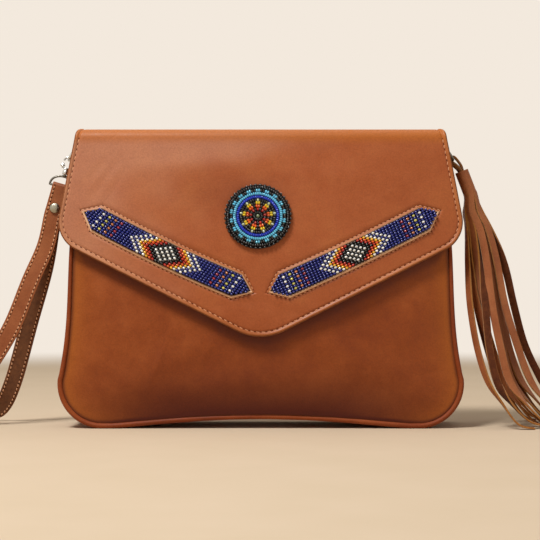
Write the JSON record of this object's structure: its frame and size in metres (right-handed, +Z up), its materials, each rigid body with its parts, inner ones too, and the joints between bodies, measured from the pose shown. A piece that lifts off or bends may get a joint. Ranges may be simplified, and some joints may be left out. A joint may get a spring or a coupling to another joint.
{
  "type": "beaded crossbody bag",
  "caption": "Leather envelope bag with an arched base, a folded pointed flap, slanted woven bead strips, a round bead rosette, a wrist strap on a swivel clasp and a leather tassel.",
  "frame": {"origin": "on the table, under the middle of the whole part's width and depth", "axes": "+Z up, front towards -Y, +X to the right of someone who looks at the front"},
  "size_m": [0.4317, 0.0606, 0.1998],
  "materials": {
    "tan_leather": "smooth oiled tan leather with raw cut edges",
    "piping_leather": "thin leather rolled round a cord",
    "strap_leather": "tan leather with a suede flesh side",
    "suede_lace": "suede lace",
    "lining_leather": "thin unfinished leather",
    "black_felt": "felted wool",
    "bright_steel": "bright nickel-plated wire and castings",
    "nickel": "worn nickel plate",
    "snap_steel": "plated steel",
    "black_bead": "opaque glossy glass seed beads",
    "navy_bead": "opaque glossy glass seed beads",
    "royal_bead": "opaque glossy glass seed beads",
    "sky_bead": "opaque glossy glass seed beads",
    "red_bead": "opaque glossy glass seed beads",
    "orange_bead": "opaque glossy glass seed beads",
    "yellow_bead": "opaque glossy glass seed beads",
    "white_bead": "opaque glossy glass seed beads",
    "pale_green_bead": "opaque glossy glass seed bead"
  },
  "bodies": {
    "pouch": {"front_panel": "tan_leather", "back_panel": "tan_leather", "gusset": "tan_leather", "front_piping": "piping_leather", "back_piping": "piping_leather", "magnet_socket": "snap_steel", "left_tab": "tan_leather", "right_tab": "tan_leather"},
    "folded_flap": {"flap": "tan_leather", "flap_lining": "lining_leather", "magnet_stud": "snap_steel", "left_strip_diamond": "black_bead", "left_strip_inner_red": "red_bead", "left_strip_inner_orange": "orange_bead", "left_strip_inner_yellow": "yellow_bead", "left_strip_inner_white": "white_bead", "left_strip_inner_blue": "navy_bead", "left_strip_outer_red": "red_bead", "left_strip_outer_orange": "orange_bead", "left_strip_outer_yellow": "yellow_bead", "left_strip_outer_white": "white_bead", "left_strip_outer_blue": "navy_bead", "right_strip_diamond": "black_bead", "right_strip_inner_red": "red_bead", "right_strip_inner_orange": "orange_bead", "right_strip_inner_yellow": "yellow_bead", "right_strip_inner_white": "white_bead", "right_strip_inner_blue": "navy_bead", "right_strip_outer_red": "red_bead", "right_strip_outer_orange": "orange_bead", "right_strip_outer_yellow": "yellow_bead", "right_strip_outer_white": "white_bead", "right_strip_outer_blue": "navy_bead", "rosette_backing": "black_felt", "rosette_black_rim": "black_bead", "rosette_pale_ring": "sky_bead", "rosette_deep_ring": "royal_bead", "rosette_ground": "black_bead", "rosette_flower": "yellow_bead", "rosette_centre_bead": "pale_green_bead"},
    "left_side_ring": {"left_ring": "bright_steel"},
    "clasp": {"clasp_hook": "bright_steel"},
    "lever": {"clasp_lever": "bright_steel"},
    "swivel": {"clasp_swivel": "bright_steel"},
    "strap": {"wrist_strap": "strap_leather", "strap_rivet": "nickel"},
    "right_side_ring": {"right_ring": "bright_steel"},
    "hanging_tassel": {"tassel_lace": "suede_lace", "tassel": "strap_leather"}
  },
  "joints": [
    {"name": "flap_fold", "type": "hinge", "parent": "pouch", "child": "folded_flap", "pos_m": [0, 0.0113, 0.19315], "axis": [-1, 0, 0], "range_deg": [0, 180]},
    {"name": "left_ring_swing", "type": "hinge", "parent": "pouch", "child": "left_side_ring", "pos_m": [-0.12487, 0, 0.187], "axis": [0, 1, 0], "range_deg": [-1, 75]},
    {"name": "clasp_swing", "type": "hinge", "parent": "left_side_ring", "child": "clasp", "pos_m": [-0.13029, 0, 0.17981], "axis": [0, 1, 0], "range_deg": [-1, 45]},
    {"name": "lever_press", "type": "hinge", "parent": "clasp", "child": "lever", "pos_m": [-0.13479, 0, 0.17445], "axis": [0, 1, 0], "range_deg": [0, 18], "stiffness_Nm_per_rad": 0.002},
    {"name": "swivel_turn", "type": "hinge", "parent": "clasp", "child": "swivel", "pos_m": [-0.13188, 0, 0.17424], "axis": [-0.2756, 0, -0.9613], "continuous": true},
    {"name": "strap_swing", "type": "hinge", "parent": "swivel", "child": "strap", "pos_m": [-0.13552, 0, 0.16155], "axis": [-0.9613, 0, 0.2756], "range_deg": [-5, 5]},
    {"name": "right_ring_swing", "type": "hinge", "parent": "pouch", "child": "right_side_ring", "pos_m": [0.12487, 0, 0.187], "axis": [0, -1, 0], "range_deg": [-1, 75]},
    {"name": "tassel_swing", "type": "hinge", "parent": "right_side_ring", "child": "hanging_tassel", "pos_m": [0.13029, 0, 0.17981], "axis": [0, -1, 0], "range_deg": [-1, 60]}
  ]
}
